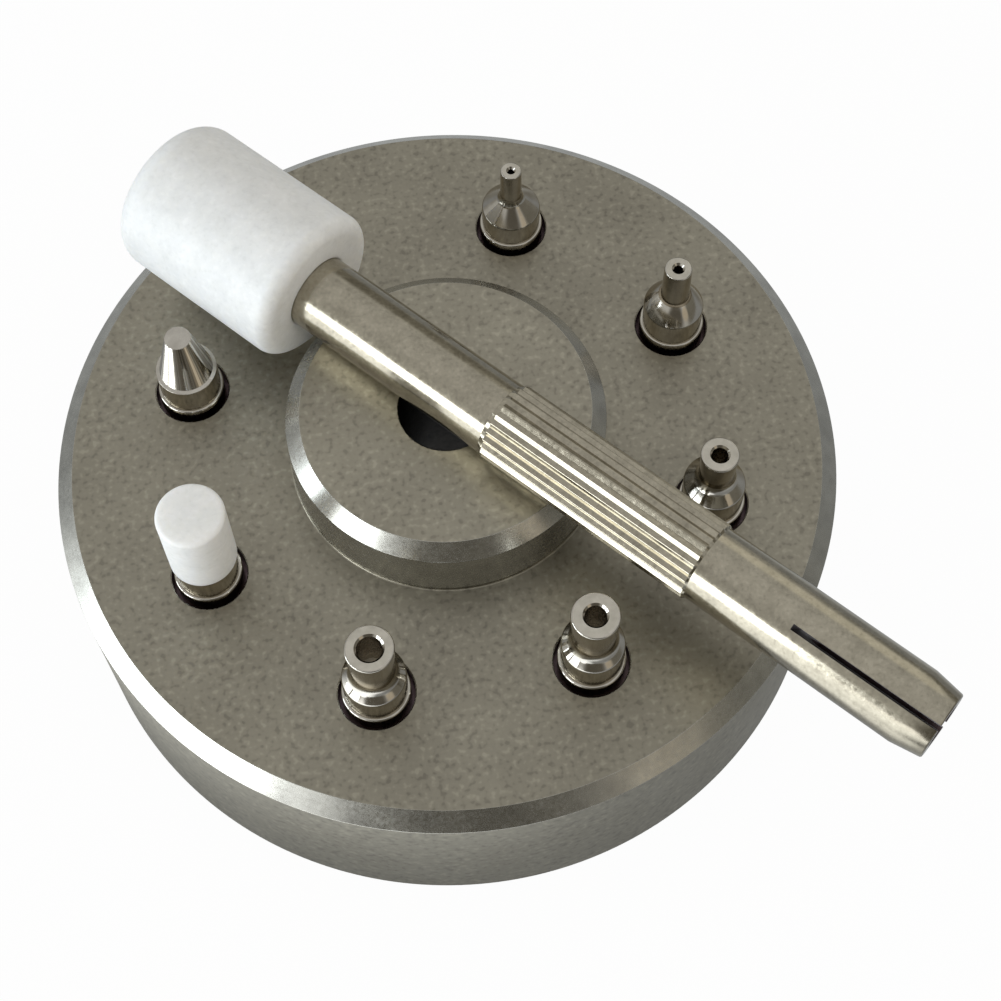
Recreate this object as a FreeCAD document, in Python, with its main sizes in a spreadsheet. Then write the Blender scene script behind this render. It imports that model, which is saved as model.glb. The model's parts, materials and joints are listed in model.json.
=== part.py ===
import FreeCAD, Part
import Sketcher
import math
import os
import re

# A stake stand for watch cases with its loose hand tool.
# The stand is one round steel block with a raised anvil boss, a bore through the boss and eight
# stations on one circle. Seven stakes stand in the stations. The hand tool lies across the boss.
# Frame: origin on the block's axis at its underside, +Z up, front at -Y. Stations are numbered
# clockwise, seen from above, from the one behind the boss; the last one is empty.

SHEET = "Sizes"

SIZES = [
    # the block and its boss
    ("base_dia", 80.0),
    ("base_high", 21.3),
    ("base_edge", 1.7),
    ("base_foot_edge", 0.6),
    ("boss_dia", 32.0),
    ("boss_high", 8.1),
    ("boss_edge", 1.5),
    ("boss_root", 0.2),
    ("anvil_bore", 9.3),
    ("anvil_bore_edge", 0.25),
    # the stations, set in from the block's edge: a recess for the foot over a pilot for the shank
    ("station_count", 8),
    ("station_inset", 12.6),
    ("station_turn", 67.5),
    ("recess_dia", 7.5),
    ("recess_deep", 2.0),
    ("recess_edge", 0.12),
    ("pilot_deep", 12.8),
    ("drill_point", 118.0),
    # what every stake shares: shank, foot on the recess floor, body and the rim above it
    ("shank_dia", 4.0),
    ("shank_fit", 0.04),
    ("shank_long", 12.0),
    ("shank_edge", 0.4),
    ("foot_dia", 6.7),
    ("foot_high", 3.15),
    ("foot_round", 0.2),
    ("body_dia", 6.2),
    ("rim_high", 6.6),
    ("rim_round", 0.5),
    # the hollow tips, smallest first: each tapers a little between its end and its neck, where the
    # cone starts; tip and rim heights are above the foot's underside
    ("tip_edge", 0.18),
    ("tip_bore_deep", 5.6),
    ("tip_bore_edge", 0.2),
    ("tip1_dia", 2.2),
    ("tip1_neck", 2.3),
    ("tip1_bore", 1.0),
    ("tip1_high", 12.6),
    ("tip1_rim", 5.95),
    ("tip1_cone", 1.9),
    ("tip1_waist", 0.8),
    ("tip2_dia", 2.8),
    ("tip2_neck", 3.0),
    ("tip2_bore", 1.35),
    ("tip2_high", 13.2),
    ("tip2_rim", 6.3),
    ("tip2_cone", 2.1),
    ("tip2_waist", 0.05),
    ("tip3_dia", 3.8),
    ("tip3_neck", 3.4),
    ("tip3_bore", 2.0),
    ("tip3_high", 12.7),
    ("tip3_rim", 6.6),
    ("tip3_cone", 1.4),
    ("tip3_waist", 1.0),
    ("tip4_dia", 4.7),
    ("tip4_neck", 4.1),
    ("tip4_bore", 2.5),
    ("tip4_high", 13.5),
    ("tip4_rim", 6.6),
    ("tip4_cone", 1.05),
    ("tip4_waist", 1.0),
    ("tip5_dia", 4.7),
    ("tip5_neck", 4.1),
    ("tip5_bore", 2.85),
    ("tip5_high", 13.6),
    ("tip5_rim", 6.6),
    ("tip5_cone", 1.05),
    ("tip5_waist", 1.0),
    # the pointed stake
    ("point_land", 0.05),
    ("point_foot_dia", 5.4),
    ("point_flat_dia", 2.65),
    ("point_high", 12.7),
    # the stake with a plastic pad
    ("pad_dia", 6.6),
    ("pad_high", 9.35),
    ("pad_edge", 0.45),
    ("peg_dia", 3.0),
    ("peg_long", 5.0),
    # the hand tool, measured along its axis from the point nearest the block's axis
    ("tool_turn", -47.0),
    ("tool_offset", 0.7),
    ("rest_gap", 0.05),
    ("shaft_dia", 7.7),
    ("shaft_end", 56.8),
    ("shaft_edge", 0.5),
    ("shaft_inside", 17.0),
    ("nose_dia", 6.75),
    ("nose_long", 3.1),
    ("grip_dia", 8.2),
    ("grip_start", 6.9),
    ("grip_long", 24.3),
    ("flute_count", 26),
    ("flute_deep", 0.28),
    ("flute_wide", 0.89),
    ("socket_fit", 0.03),
    ("socket_deep", 13.0),
    ("socket_edge", 0.3),
    ("slot_wide", 0.6),
    ("slot_long", 15.5),
    ("slot_turn", 27.5),
    ("head_dia", 16.1),
    ("head_long", 20.5),
    ("head_face", 16.5),
    ("head_front_edge", 1.5),
    ("head_back_edge", 2.6),
]

FUNCTIONS = ("sin", "cos", "tan", "deg")
TIP_COUNT = 5
STATION_RADIUS = "(base_dia / 2 - station_inset)"
SAME_PLACE = 1e-4


def make_sheet(doc):
    sheet = doc.addObject("Spreadsheet::Sheet", SHEET)
    for row, (word, number) in enumerate(SIZES, start=1):
        sheet.set(f"A{row}", word)
        sheet.set(f"B{row}", str(number))
        sheet.setAlias(f"B{row}", word)
    doc.recompute()
    return sheet


def size(doc, word):
    return float(doc.getObject(SHEET).get(word))


def bind(thing, prop, text):
    """Bind one property to an expression over size names."""

    def on_sheet(found):
        word = found.group(0)
        return word if word in FUNCTIONS else f"{SHEET}.{word}"

    thing.setExpression(prop, re.sub(r"[a-z]\w*", on_sheet, text))


def origin_part(body, role):
    return next(part for part in body.Origin.OriginFeatures if part.Role == role)


def new_body(doc, name):
    body = doc.addObject("PartDesign::Body", name)
    body.Label = name
    return body


def new_sketch(body, name, plane):
    sketch = body.newObject("Sketcher::SketchObject", name)
    sketch.AttachmentSupport = [(origin_part(body, plane), "")]
    sketch.MapMode = "FlatFace"
    return sketch


def outline(body, name, plane, corners):
    """A closed outline of straight lines whose corners are pairs of expressions over size names."""
    sketch = new_sketch(body, name, plane)
    count = len(corners)
    step = 2 * math.pi / count
    ring = [FreeCAD.Vector(math.cos(step * n), math.sin(step * n), 0) for n in range(count)]
    for n in range(count):
        sketch.addGeometry(Part.LineSegment(ring[n], ring[(n + 1) % count]), False)
    for n in range(count):
        sketch.addConstraint(Sketcher.Constraint("Coincident", n, 2, (n + 1) % count, 1))
    for n, corner in enumerate(corners):
        for kind, text, start in zip(("DistanceX", "DistanceY"), corner, ring[n]):
            fixed = text == "0"
            at = sketch.addConstraint(
                Sketcher.Constraint(kind, -1, 1, n, 1, 0.0 if fixed else start)
            )
            if not fixed:
                bind(sketch, f"Constraints[{at}]", text)
    return sketch


def turned(body, name, corners):
    """Material turned about the body's own Z axis from a half outline of radii and heights."""
    sketch = outline(body, f"{name}_outline", "XZ_Plane", corners)
    feature = body.newObject("PartDesign::Revolution", name)
    feature.Profile = sketch
    feature.ReferenceAxis = (sketch, ["V_Axis"])
    feature.Angle = 360
    sketch.Visibility = False
    return feature


def bored(body, name, corners, out=None):
    """A cut turned about Z from a half outline; out moves its axis along X."""
    sketch = outline(body, f"{name}_outline", "XZ_Plane", corners)
    if out:
        bind(sketch, "AttachmentOffset.Base.x", out)
    feature = body.newObject("PartDesign::Groove", name)
    feature.Profile = sketch
    feature.ReferenceAxis = (sketch, ["V_Axis"])
    feature.Angle = 360
    return feature


def patterned(body, feature, name, count):
    pattern = body.newObject("PartDesign::PolarPattern", name)
    pattern.Originals = [feature]
    pattern.Axis = (origin_part(body, "Z_Axis"), [""])
    pattern.Angle = 360
    bind(pattern, "Occurrences", count)
    body.Tip = pattern
    return pattern


def round_edges(body, name, radius, places):
    """Round the circular edges at each place, given as (edge radius, height) in numbers."""
    doc = body.Document
    doc.recompute()
    base = body.Tip
    found = []
    for at, edge in enumerate(base.Shape.Edges, start=1):
        curve = edge.Curve
        if not isinstance(curve, Part.Circle):
            continue
        for across, high in places:
            off = max(abs(curve.Radius - across), abs(curve.Center.z - high))
            if off < SAME_PLACE:
                found.append(f"Edge{at}")
    if len(found) < len(places):
        raise RuntimeError(f"{body.Label}: {name} found {len(found)} of {len(places)} edges")
    feature = body.newObject("PartDesign::Fillet", name)
    feature.Base = (base, found)
    bind(feature, "Radius", radius)
    return feature


def make_base(doc):
    """The block, turned with its boss from one bar, then drilled at every station."""
    body = new_body(doc, "base_block")
    top = "base_high + boss_high"
    turned(
        body,
        "turned_block",
        [
            ("anvil_bore / 2", "0"),
            ("base_dia / 2 - base_foot_edge", "0"),
            ("base_dia / 2", "base_foot_edge"),
            ("base_dia / 2", "base_high - base_edge"),
            ("base_dia / 2 - base_edge", "base_high"),
            ("boss_dia / 2", "base_high"),
            ("boss_dia / 2", f"{top} - boss_edge"),
            ("boss_dia / 2 - boss_edge", top),
            ("anvil_bore / 2 + anvil_bore_edge", top),
            ("anvil_bore / 2", f"{top} - anvil_bore_edge"),
        ],
    )
    round_edges(
        body,
        "boss_root_round",
        "boss_root",
        [(size(doc, "boss_dia") / 2, size(doc, "base_high"))],
    )
    pilot = "shank_dia / 2 + shank_fit"
    floor = "base_high - recess_deep"
    station = bored(
        body,
        "station",
        [
            ("0", "base_high"),
            ("recess_dia / 2 + recess_edge", "base_high"),
            ("recess_dia / 2", "base_high - recess_edge"),
            ("recess_dia / 2", floor),
            (pilot, floor),
            (pilot, f"{floor} - pilot_deep"),
            ("0", f"{floor} - pilot_deep - ({pilot}) / tan(drill_point / 2 * 1 deg)"),
        ],
        out=STATION_RADIUS,
    )
    patterned(body, station, "stations", "station_count")
    body.Placement.Rotation = FreeCAD.Rotation(FreeCAD.Vector(0, 0, 1), size(doc, "station_turn"))
    return body


def stand_in_station(body, number, lift="0"):
    """Put a stake's foot on the floor of a station's recess, counted clockwise from the first."""
    angle = f"(station_turn - {number} * 360 / station_count) * 1 deg"
    bind(body, "Placement.Base.x", f"{STATION_RADIUS} * cos({angle})")
    bind(body, "Placement.Base.y", f"{STATION_RADIUS} * sin({angle})")
    bind(body, "Placement.Base.z", f"base_high - recess_deep + {lift}")


def stake_outline(above, rim="rim_high"):
    """The shank, foot and body that every stake shares, then what stands above its rim."""
    return [
        ("0", "-shank_long"),
        ("shank_dia / 2 - shank_edge", "-shank_long"),
        ("shank_dia / 2", "-shank_long + shank_edge"),
        ("shank_dia / 2", "0"),
        ("foot_dia / 2", "0"),
        ("foot_dia / 2", "foot_high"),
        ("body_dia / 2", "foot_high"),
        ("body_dia / 2", rim),
    ] + above


def round_foot(body):
    doc = body.Document
    round_edges(
        body,
        "foot_rounding",
        "foot_round",
        [(size(doc, "foot_dia") / 2, size(doc, "foot_high"))],
    )


def make_tube_stake(doc, number):
    """A hollow stake: a cone from the rim to the neck, and a tip with a countersunk blind bore."""
    body = new_body(doc, f"tube_stake_{number}")
    tip = f"tip{number}"
    rim_at = size(doc, f"{tip}_rim")
    turned(
        body,
        "turned_stake",
        stake_outline(
            [
                (f"{tip}_neck / 2", f"{tip}_rim + {tip}_cone"),
                (f"{tip}_dia / 2", f"{tip}_high - tip_edge"),
                (f"{tip}_dia / 2 - tip_edge", f"{tip}_high"),
                ("0", f"{tip}_high"),
            ],
            rim=f"{tip}_rim",
        ),
    )
    round_edges(
        body,
        "waist_rounding",
        f"{tip}_waist",
        [(size(doc, f"{tip}_neck") / 2, rim_at + size(doc, f"{tip}_cone"))],
    )
    round_edges(body, "rim_rounding", "rim_round", [(size(doc, "body_dia") / 2, rim_at)])
    round_foot(body)
    bored(
        body,
        "tip_bore",
        [
            ("0", f"{tip}_high - tip_bore_deep"),
            (f"{tip}_bore / 2 - tip_bore_edge", f"{tip}_high - tip_bore_deep"),
            (f"{tip}_bore / 2 - tip_bore_edge", f"{tip}_high - tip_bore_edge"),
            (f"{tip}_bore / 2", f"{tip}_high"),
            ("0", f"{tip}_high"),
        ],
    )
    stand_in_station(body, number - 1)
    return body


def make_pad_stake(doc, number):
    """A steel foot with a peg, and the plastic pad that is pushed on the peg."""
    foot = new_body(doc, "pad_stake_foot")
    peg_top = "rim_high + peg_long"
    turned(
        foot,
        "turned_foot",
        stake_outline([("peg_dia / 2", "rim_high"), ("peg_dia / 2", peg_top), ("0", peg_top)]),
    )
    round_foot(foot)
    stand_in_station(foot, number)
    pad = new_body(doc, "pad_stake_pad")
    turned(
        pad,
        "turned_pad",
        [
            ("peg_dia / 2", "0"),
            ("pad_dia / 2", "0"),
            ("pad_dia / 2", "pad_high"),
            ("0", "pad_high"),
            ("0", "peg_long"),
            ("peg_dia / 2", "peg_long"),
        ],
    )
    round_edges(pad, "pad_rounding", "pad_edge", [(size(doc, "pad_dia") / 2, size(doc, "pad_high"))])
    stand_in_station(pad, number, "rim_high")
    return [foot, pad]


def make_point_stake(doc, number):
    """A solid stake: a narrow land at the rim, then a steep cone to a small flat."""
    body = new_body(doc, "point_stake")
    turned(
        body,
        "turned_stake",
        stake_outline(
            [
                ("point_foot_dia / 2", "rim_high + point_land"),
                ("point_flat_dia / 2", "point_high"),
                ("0", "point_high"),
            ]
        ),
    )
    round_foot(body)
    stand_in_station(body, number)
    return body


def lay_tool(body):
    """Lay a piece of the tool, built along Z, across the boss with its saw slot leaning forward."""
    doc = body.Document
    turn = FreeCAD.Rotation(FreeCAD.Vector(0, 0, 1), size(doc, "tool_turn"))
    lay = FreeCAD.Rotation(FreeCAD.Vector(0, 1, 0), 90)
    roll = FreeCAD.Rotation(FreeCAD.Vector(0, 0, 1), 90 + size(doc, "slot_turn"))
    body.Placement.Rotation = turn * lay * roll
    bind(body, "Placement.Base.x", "-tool_offset * sin(tool_turn * 1 deg)")
    bind(body, "Placement.Base.y", "tool_offset * cos(tool_turn * 1 deg)")
    bind(body, "Placement.Base.z", "base_high + boss_high + rest_gap + grip_dia / 2")


def make_shaft(doc):
    """The tool's shaft: straight fluted grip, and a saw-cut socket end that springs on a shank."""
    body = new_body(doc, "tool_shaft")
    start = "-head_face - shaft_inside"
    step = "(grip_dia - shaft_dia) / 2"
    turned(
        body,
        "turned_shaft",
        [
            ("0", start),
            ("shaft_dia / 2 - shaft_edge", start),
            ("shaft_dia / 2", f"{start} + shaft_edge"),
            ("shaft_dia / 2", "grip_start"),
            ("grip_dia / 2", f"grip_start + {step}"),
            ("grip_dia / 2", f"grip_start + grip_long - {step}"),
            ("shaft_dia / 2", "grip_start + grip_long"),
            ("shaft_dia / 2", "shaft_end - nose_long"),
            ("nose_dia / 2", "shaft_end"),
            ("0", "shaft_end"),
        ],
    )
    socket = "shank_dia / 2 + socket_fit"
    bored(
        body,
        "socket",
        [
            ("0", f"shaft_end - socket_deep - ({socket}) / tan(drill_point / 2 * 1 deg)"),
            (socket, "shaft_end - socket_deep"),
            (socket, "shaft_end - socket_edge"),
            (f"{socket} + socket_edge", "shaft_end"),
            ("0", "shaft_end"),
        ],
    )
    slot_side = outline(
        body,
        "slot_outline",
        "XZ_Plane",
        [
            ("-slot_wide / 2", "shaft_end - slot_long"),
            ("slot_wide / 2", "shaft_end - slot_long"),
            ("slot_wide / 2", "shaft_end + slot_wide"),
            ("-slot_wide / 2", "shaft_end + slot_wide"),
        ],
    )
    slot = body.newObject("PartDesign::Pocket", "saw_slot")
    slot.Profile = slot_side
    slot.Type = "Length"
    slot.Midplane = True
    bind(slot, "Length", "shaft_dia * 2")
    rim = "grip_dia / 2 + flute_deep"
    flute_shape = outline(
        body,
        "flute_outline",
        "XY_Plane",
        [
            ("grip_dia / 2 - flute_deep", "0"),
            (rim, "-flute_wide"),
            (rim, "flute_wide"),
        ],
    )
    bind(flute_shape, "AttachmentOffset.Base.z", "grip_start")
    flute = body.newObject("PartDesign::Pocket", "flute")
    flute.Profile = flute_shape
    flute.Type = "Length"
    flute.Reversed = True
    bind(flute, "Length", "grip_long")
    patterned(body, flute, "flutes", "flute_count")
    lay_tool(body)
    return body


def make_head(doc):
    """The tool's plastic head, bored for the shaft and rounded at both ends."""
    body = new_body(doc, "tool_head")
    back = "-head_face - head_long"
    turned(
        body,
        "turned_head",
        [
            ("0", back),
            ("head_dia / 2", back),
            ("head_dia / 2", "-head_face"),
            ("shaft_dia / 2", "-head_face"),
            ("shaft_dia / 2", "-head_face - shaft_inside"),
            ("0", "-head_face - shaft_inside"),
        ],
    )
    radius = size(doc, "head_dia") / 2
    front_face = -size(doc, "head_face")
    back_face = front_face - size(doc, "head_long")
    round_edges(body, "front_rounding", "head_front_edge", [(radius, front_face)])
    round_edges(body, "back_rounding", "head_back_edge", [(radius, back_face)])
    lay_tool(body)
    return body


def checked(doc, bodies):
    """Stop before anything is written if a feature failed or a shape is not one valid solid."""
    doc.recompute()
    for thing in doc.Objects:
        if "Invalid" in thing.State or "Error" in thing.State:
            raise RuntimeError(f"{thing.Name} failed: {thing.State}")
    for body in bodies:
        shape = body.Shape
        if shape.isNull() or not shape.isValid() or len(shape.Solids) != 1:
            raise RuntimeError(f"{body.Label} is not one valid solid")


def main():
    doc = FreeCAD.newDocument("stake_stand")
    make_sheet(doc)
    bodies = [make_base(doc)]
    bodies += [make_tube_stake(doc, number) for number in range(1, TIP_COUNT + 1)]
    bodies += make_pad_stake(doc, TIP_COUNT)
    bodies.append(make_point_stake(doc, TIP_COUNT + 1))
    bodies.append(make_shaft(doc))
    bodies.append(make_head(doc))
    checked(doc, bodies)
    os.makedirs("parts", exist_ok=True)
    for body in bodies:
        shape = body.Shape
        shape.exportStep(os.path.join("parts", f"{body.Label}.step"))
        box = shape.BoundBox
        print(
            f"{body.Label:18s} {shape.Volume:10.2f} mm3  x {box.XMin:7.2f} {box.XMax:7.2f}"
            f"  y {box.YMin:7.2f} {box.YMax:7.2f}  z {box.ZMin:7.2f} {box.ZMax:7.2f}"
        )


main()
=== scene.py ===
"""Looks of a stake stand for watch cases: a blasted steel block with a raised boss, seven small
stakes in its stations and a hand tool with a white head lying across the boss."""

import json
import math

import bmesh
import bpy
from mathutils import Matrix, Vector


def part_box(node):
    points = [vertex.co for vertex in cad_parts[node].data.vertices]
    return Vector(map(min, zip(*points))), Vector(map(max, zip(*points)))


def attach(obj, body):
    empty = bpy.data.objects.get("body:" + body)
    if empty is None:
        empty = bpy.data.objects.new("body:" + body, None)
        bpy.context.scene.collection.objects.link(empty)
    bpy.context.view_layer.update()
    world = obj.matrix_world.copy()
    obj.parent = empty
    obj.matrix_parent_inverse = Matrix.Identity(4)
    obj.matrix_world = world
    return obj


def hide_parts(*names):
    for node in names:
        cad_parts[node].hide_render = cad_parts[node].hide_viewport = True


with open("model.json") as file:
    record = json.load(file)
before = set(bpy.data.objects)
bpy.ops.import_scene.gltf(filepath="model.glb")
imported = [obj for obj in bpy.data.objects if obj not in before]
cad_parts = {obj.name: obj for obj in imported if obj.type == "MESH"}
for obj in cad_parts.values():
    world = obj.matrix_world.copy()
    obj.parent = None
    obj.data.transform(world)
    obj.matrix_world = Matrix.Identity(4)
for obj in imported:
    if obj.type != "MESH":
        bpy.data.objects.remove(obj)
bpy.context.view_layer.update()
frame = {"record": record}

MM = 0.001
FULL_TURN = 2 * math.pi
MERGE = 1e-7
SHARP_EDGE = math.radians(35)

# How finely round shapes are turned, in steps round the axis, and rounded corners, in segments.
# Corners rounded by more than BLEND_FROM have the larger number.
BLOCK_STEPS = 256
STAKE_STEPS = 96
TOOL_STEPS = 160
CORNER_SEGMENTS = 5
BLEND_SEGMENTS = 14
BLEND_FROM = 0.5 * MM

# How far up a face's normal points: between the first two on a bevel, above the third on a flat.
BEVEL_RISE = (0.3, 0.95)
FLAT_RISE = 0.99

# ---------------------------------------------------------------------------------------------
# Sizes: places and overall sizes come from the frame, details that a box can't give are here.
# ---------------------------------------------------------------------------------------------

_, block_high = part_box("base_block")
BLOCK_R = block_high.x
BOSS_TOP = block_high.z
BOSS_HIGH = 8.1 * MM
BLOCK_TOP = BOSS_TOP - BOSS_HIGH
BLOCK_EDGE = 1.7 * MM
BLOCK_FOOT_EDGE = 0.6 * MM
BOSS_R = 16.0 * MM
BOSS_EDGE = 1.5 * MM
BOSS_ROOT = 0.2 * MM
BORE_R = 4.65 * MM
EDGE_BREAK = 0.1 * MM

STATION_COUNT = 8
STATION_CIRCLE_R = 27.4 * MM
FIRST_STATION = math.radians(67.5)
RECESS_R = 3.75 * MM
RECESS_DEEP = 2.0 * MM
RECESS_LIP = 0.12 * MM
PILOT_R = 2.04 * MM
PILOT_DEEP = 12.8 * MM
DRILL_SLOPE = math.tan(math.radians(118 / 2))

SHANK_R = 2.0 * MM
SHANK_LONG = 12.0 * MM
SHANK_EDGE = 0.4 * MM
FOOT_R = 3.35 * MM
FOOT_HIGH = 3.15 * MM
FOOT_ROUND = 0.2 * MM
BODY_R = 3.1 * MM
RIM_HIGH = 6.6 * MM
RIM_ROUND = 0.4 * MM
STAKE_BREAK = 0.05 * MM
TIP_BORE_DEEP = 5.6 * MM
TIP_EDGE = 0.18 * MM
TIP_BORE_EDGE = 0.2 * MM
# For each hollow stake, in millimetres: the radius of its tip, of its bore's mouth and of its
# neck, the height of its rim and of its cone, and the rounding of its waist.
TUBE_TIPS = {
    "tube_stake_1": (1.1, 0.5, 1.15, 5.95, 1.9, 1.3),
    "tube_stake_2": (1.4, 0.675, 1.5, 6.3, 2.1, 0),
    "tube_stake_3": (1.9, 1.0, 1.7, 6.6, 1.4, 1.6),
    "tube_stake_4": (2.35, 1.25, 2.05, 6.6, 1.05, 1.6),
    "tube_stake_5": (2.35, 1.425, 2.05, 6.6, 1.05, 1.6),
}
# A line of painted shade in a sharp waist: a small step, coloured with the bore's dark steel.
SEAM_WIDE = 0.22 * MM
SEAM_HIGH = 0.12 * MM
POINT_LAND = 0.05 * MM
POINT_FOOT_R = 2.7 * MM
POINT_FLAT_R = 1.325 * MM
PEG_R = 1.5 * MM
PAD_R = 3.3 * MM
PAD_EDGE = 0.45 * MM

socket_mount = next(m for m in frame["record"]["mounts"] if m["name"] == "tool_socket")
TOOL_AXIS = Vector(socket_mount["axis"]).normalized()
TOOL_END = Vector(socket_mount["pos_m"])
SHAFT_END = 56.8 * MM
SHAFT_R = 3.85 * MM
SHAFT_EDGE = 0.5 * MM
SHAFT_INSIDE = 17.0 * MM
NOSE_R = 3.375 * MM
NOSE_LONG = 3.1 * MM
SOCKET_R = 2.03 * MM
SOCKET_DEEP = 13.0 * MM
SOCKET_EDGE = 0.3 * MM
SLOT_WIDE = 0.6 * MM
SLOT_LONG = 15.5 * MM
SLOT_LEAN = math.radians(27.5)
# Painted shade on the socket and the slot's walls inside this radius, up to this far from the
# shaft's end.
PAINTED_SHADE_R = SHAFT_R * 0.86
PAINTED_SHADE_SHORT = 0.01 * MM
GRIP_R = 4.1 * MM
GRIP_START = 6.9 * MM
GRIP_LONG = 24.3 * MM
FLUTE_COUNT = 26
FLUTE_DEEP = 0.27 * MM
# The share of a flute's step that its land takes, and the rounding of the land's two edges.
FLUTE_LAND = 0.10
FLUTE_EDGE = 0.12 * MM
FLUTE_EDGE_SEGMENTS = 3
# How long the flutes take to run out at the end next to the head.
FLUTE_RUN_OUT = 0.45 * MM
CORE_R = 3.6 * MM
HEAD_R = 8.05 * MM
HEAD_LONG = 20.5 * MM
HEAD_FACE = -16.5 * MM
HEAD_FRONT_EDGE = 1.5 * MM
HEAD_BACK_EDGE = 2.6 * MM

# The camera, fitted to the outlines of the block, the boss and the tool.
VIEW_TURN = math.radians(-9.76)
VIEW_DOWN = math.radians(61.88)
VIEW_ROLL = math.radians(0.76)
VIEW_AT = Vector((10.63, 15.12, 0)) * MM
VIEW_FAR = 230.06 * MM
VIEW_LENS = 71.37
VIEW_SENSOR = 36.0
VIEW_SHIFT = (-0.02525, -0.10044)
VIEW_CLIP = 10 * MM


# ---------------------------------------------------------------------------------------------
# Mesh helpers
# ---------------------------------------------------------------------------------------------


def round_corner(bm, corner, radius, segments):
    """Turns a corner of an outline into an arc of this radius."""
    before, after = [(edge.other_vert(corner).co - corner.co) for edge in corner.link_edges]
    half_turn = (math.pi - before.angle(after)) / 2
    bmesh.ops.bevel(
        bm,
        geom=[corner],
        offset=radius * math.tan(half_turn),
        offset_type="OFFSET",
        affect="VERTICES",
        segments=segments,
        profile=0.5,
        material=-1,
    )


def turned(outline, steps, closed=False):
    """A shape turned about Z from an outline of (radius, height, rounding) corners."""
    bm = bmesh.new()
    corners = [bm.verts.new((radius, 0, height)) for radius, height, _ in outline]
    for start, end in zip(corners, corners[1:]):
        bm.edges.new((start, end))
    if closed:
        bm.edges.new((corners[-1], corners[0]))
    for corner, (_, _, rounding) in zip(corners, outline):
        if rounding:
            segments = BLEND_SEGMENTS if rounding > BLEND_FROM else CORNER_SEGMENTS
            round_corner(bm, corner, rounding, segments)
    bmesh.ops.spin(
        bm,
        geom=bm.verts[:] + bm.edges[:],
        cent=(0, 0, 0),
        axis=(0, 0, 1),
        angle=FULL_TURN,
        steps=steps,
        use_merge=True,
    )
    bmesh.ops.remove_doubles(bm, verts=bm.verts[:], dist=MERGE)
    bmesh.ops.recalc_face_normals(bm, faces=bm.faces[:])
    return bm


def as_object(bm, name, place=None):
    """A mesh object at the origin, with its place in its mesh."""
    mesh = bpy.data.meshes.new(name)
    bm.to_mesh(mesh)
    bm.free()
    if place is not None:
        mesh.transform(place)
    obj = bpy.data.objects.new(name, mesh)
    bpy.context.scene.collection.objects.link(obj)
    return obj


def cut(obj, cutter):
    """Takes the cutter's shape out of the object and deletes the cutter."""
    drill = obj.modifiers.new("cut", "BOOLEAN")
    drill.operation = "DIFFERENCE"
    drill.solver = "EXACT"
    drill.object = cutter
    evaluated = obj.evaluated_get(bpy.context.evaluated_depsgraph_get())
    mesh = bpy.data.meshes.new_from_object(evaluated)
    obj.modifiers.clear()
    obj.data = mesh
    bpy.data.objects.remove(cutter)


def piece(obj, body, nodes, materials, pick=None):
    """Dresses a finished mesh: its materials, its shading, what it rides on and stands for.

    pick says which of the materials a face has, from its centre and its normal."""
    mesh = obj.data
    mesh.materials.clear()
    for material in materials:
        mesh.materials.append(material)
    for face in mesh.polygons:
        face.material_index = materials.index(pick(face.center, face.normal)) if pick else 0
    mesh.shade_smooth()
    mesh.set_sharp_from_angle(angle=SHARP_EDGE)
    weighted = obj.modifiers.new("even_shading", "WEIGHTED_NORMAL")
    weighted.keep_sharp = True
    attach(obj, body)
    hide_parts(*nodes)


# ---------------------------------------------------------------------------------------------
# Node helpers
# ---------------------------------------------------------------------------------------------


def put(tree, socket, value):
    """Gives an input another node's output, a number, a vector or a colour of three numbers."""
    if isinstance(value, bpy.types.NodeSocket):
        tree.links.new(value, socket)
    elif socket.type == "RGBA":
        socket.default_value = (*value, 1.0)
    else:
        socket.default_value = value


def add(tree, kind, inputs=None, **settings):
    """A node with some of its own settings, and what its inputs get, by name or number."""
    node = tree.nodes.new(kind)
    for key, value in settings.items():
        setattr(node, key, value)
    for key, value in (inputs or {}).items():
        put(tree, node.inputs[key], value)
    return node


def math_node(tree, operation, first, second=0.0):
    """A Math node between two sockets or numbers."""
    return add(tree, "ShaderNodeMath", {0: first, 1: second}, operation=operation).outputs[0]


def vector_node(tree, operation, output, first, second=(0, 0, 0)):
    """One output of a Vector Math node between two sockets or vectors."""
    node = add(tree, "ShaderNodeVectorMath", {0: first, 1: second}, operation=operation)
    return node.outputs[output]


def noise(tree, vector, scale, detail, roughness):
    """Soft noise round 0.5."""
    inputs = {"Vector": vector, "Scale": scale, "Detail": detail, "Roughness": roughness}
    return add(tree, "ShaderNodeTexNoise", inputs).outputs["Fac"]


def ramp(tree, factor, stops):
    """A colour that runs through stops of (position, colour)."""
    node = add(tree, "ShaderNodeValToRGB", {"Fac": factor})
    elements = node.color_ramp.elements
    elements[0].position, elements[1].position = stops[0][0], stops[-1][0]
    for position, _ in stops[1:-1]:
        elements.new(position)
    for element, (_, colour) in zip(elements, stops):
        element.color = (*colour, 1)
    return node.outputs["Color"]


def mixed(tree, data_type, factor, low, high):
    """From one value to another, by a mask. Each is a socket or a plain value."""
    inputs = {"Factor": factor, "A": low, "B": high}
    return add(tree, "ShaderNodeMix", inputs, data_type=data_type).outputs["Result"]


def blend(tree, factor, low, high):
    """A colour between two, by a mask."""
    return mixed(tree, "RGBA", factor, low, high)


def between(tree, factor, low, high):
    """A number between two plain numbers, by a mask."""
    inputs = {"Value": factor, "To Min": low, "To Max": high}
    return add(tree, "ShaderNodeMapRange", inputs).outputs["Result"]


def eased(tree, value, low, high, top=1.0):
    """A number that goes smoothly from 0 to the top while its input passes two limits."""
    inputs = {"Value": value, "From Min": low, "From Max": high, "To Max": top}
    node = add(tree, "ShaderNodeMapRange", inputs, interpolation_type="SMOOTHSTEP")
    return node.outputs["Result"]


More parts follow.
